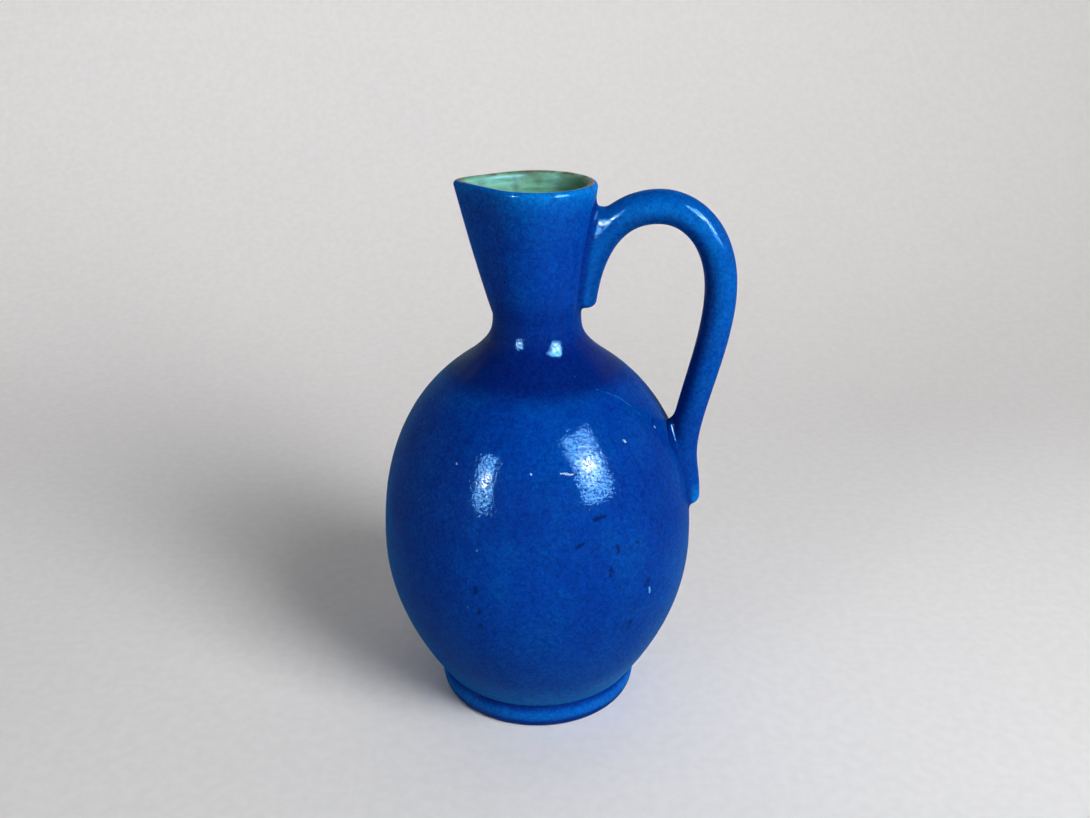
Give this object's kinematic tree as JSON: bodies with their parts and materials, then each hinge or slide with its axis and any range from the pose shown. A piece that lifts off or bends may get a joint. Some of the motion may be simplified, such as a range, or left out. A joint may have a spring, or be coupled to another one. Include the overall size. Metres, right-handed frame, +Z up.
{
  "type": "ceramic pitcher",
  "caption": "Round-bellied ceramic pitcher with a narrow waist, a flaring neck drawn into a pinched spout, and a coil handle arching from neck to belly.",
  "frame": {"origin": "centre of the foot ring's resting face, on the axis of the belly", "axes": "+Z up along the axis of the belly, +X from the axis towards the handle, the spout points along -X"},
  "size_m": [0.1566, 0.1424, 0.244],
  "materials": {
    "blue_glaze": "glossy cobalt crackle glaze over fired clay",
    "green_glaze": "glossy pale green glaze, brushed in rings"
  },
  "bodies": {
    "root": {"foot_ring": "blue_glaze", "belly": "blue_glaze", "neck": "blue_glaze", "handle": "blue_glaze", "inside_glaze": "green_glaze"}
  },
  "joints": []
}
